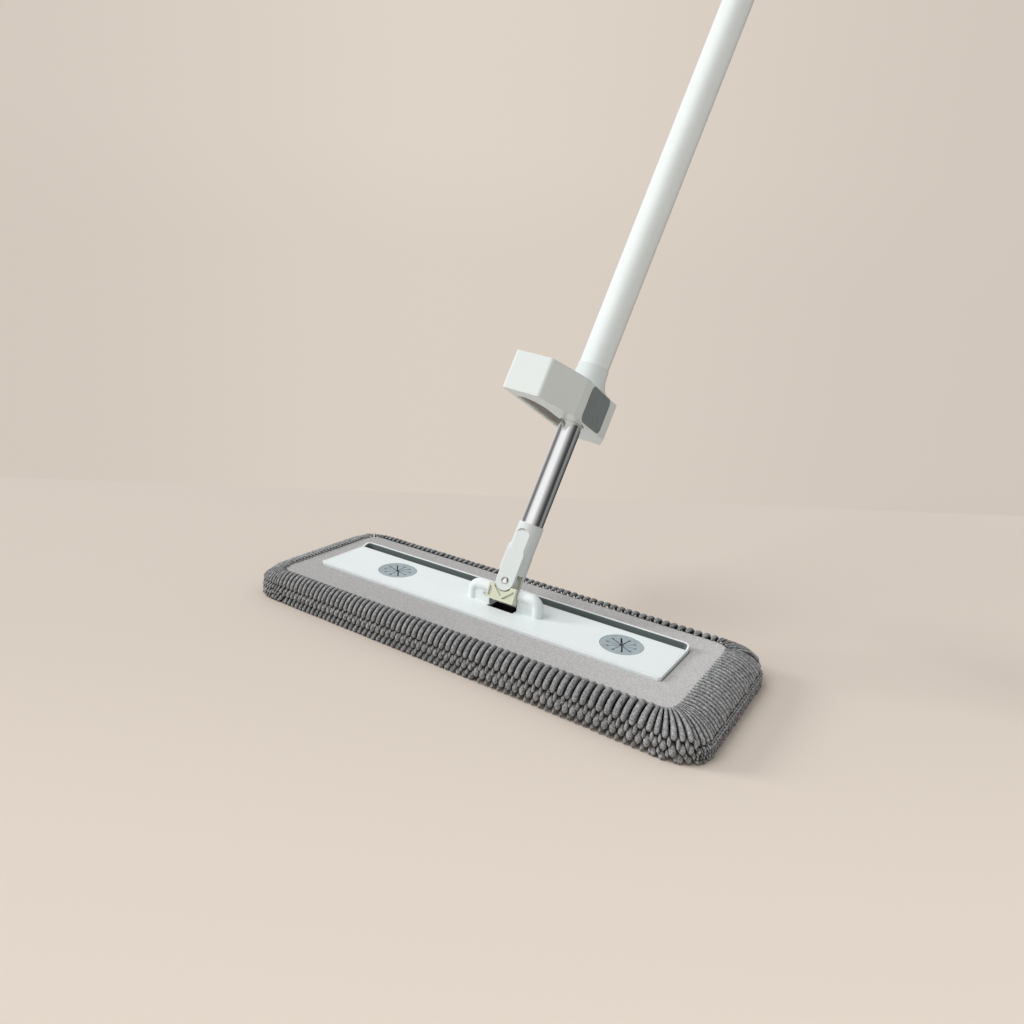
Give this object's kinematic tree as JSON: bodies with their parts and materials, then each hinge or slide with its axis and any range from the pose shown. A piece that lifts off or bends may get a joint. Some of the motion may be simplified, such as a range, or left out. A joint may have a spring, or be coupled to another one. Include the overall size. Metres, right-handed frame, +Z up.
{
  "type": "chenille flat mop",
  "caption": "Flat mop with a chenille pad in a fabric pocket, a double-hinged head, a telescoping pole and a sliding wringer collar.",
  "frame": {"origin": "middle of the pad's underside, on the floor", "axes": "+X along the head to the right, +Y to the rear where the pole leans, +Z up"},
  "size_m": [0.4178, 0.4423, 0.8281],
  "materials": {
    "chenille": "matt",
    "pad_fabric": "matt",
    "white_plastic": "gloss",
    "shell_plastic": "satin",
    "ivory_plastic": "satin",
    "dark_plastic": "satin",
    "blue_grey_rubber": "matt",
    "patch_rubber": "matt",
    "steel": "satin",
    "polished_steel": "polished",
    "white_paint": "gloss"
  },
  "bodies": {
    "head": {"pad_core": "pad_fabric", "chenille_sole": "chenille", "chenille_front": "chenille", "chenille_back": "chenille", "chenille_left": "chenille", "chenille_right": "chenille", "pad_pocket": "pad_fabric", "base_board": "dark_plastic", "deck_frame": "white_plastic", "deck_panel": "white_plastic", "channel_liner": "dark_plastic", "left_gripper": "blue_grey_rubber", "right_gripper": "blue_grey_rubber", "deck_screws": "steel", "tilt_pin": "steel", "pin_set_screw": "steel"},
    "swivel": {"swivel_block": "ivory_plastic", "pivot_bush": "ivory_plastic"},
    "lower_pole": {"fork_connector": "white_plastic", "fork_rivet": "steel", "steel_tube": "polished_steel", "top_guide": "ivory_plastic"},
    "upper_pole": {"wringer_body": "shell_plastic", "wringer_cover": "shell_plastic", "wringer_screws": "steel", "far_blade": "blue_grey_rubber", "near_blades": "blue_grey_rubber", "grip_patch": "patch_rubber", "guide_bush": "ivory_plastic", "friction_ring": "blue_grey_rubber", "outer_tube": "white_paint", "hand_grip": "patch_rubber", "end_cap": "white_plastic"}
  },
  "joints": [
    {"name": "tilt_hinge", "type": "hinge", "parent": "head", "child": "swivel", "pos_m": [0.0115, 0, 0.0382], "axis": [-1, 0, 0], "range_deg": [-94.5, 45.5]},
    {"name": "swing_hinge", "type": "hinge", "parent": "swivel", "child": "lower_pole", "pos_m": [0.0115, 0.00415, 0.0473], "axis": [0, 0.91, -0.4147], "range_deg": [-50.15, 39.85]},
    {"name": "sleeve_slide", "type": "slide", "parent": "lower_pole", "child": "upper_pole", "axis": [0.0898, 0.413, 0.9063], "range_m": [0, 0.4]}
  ]
}
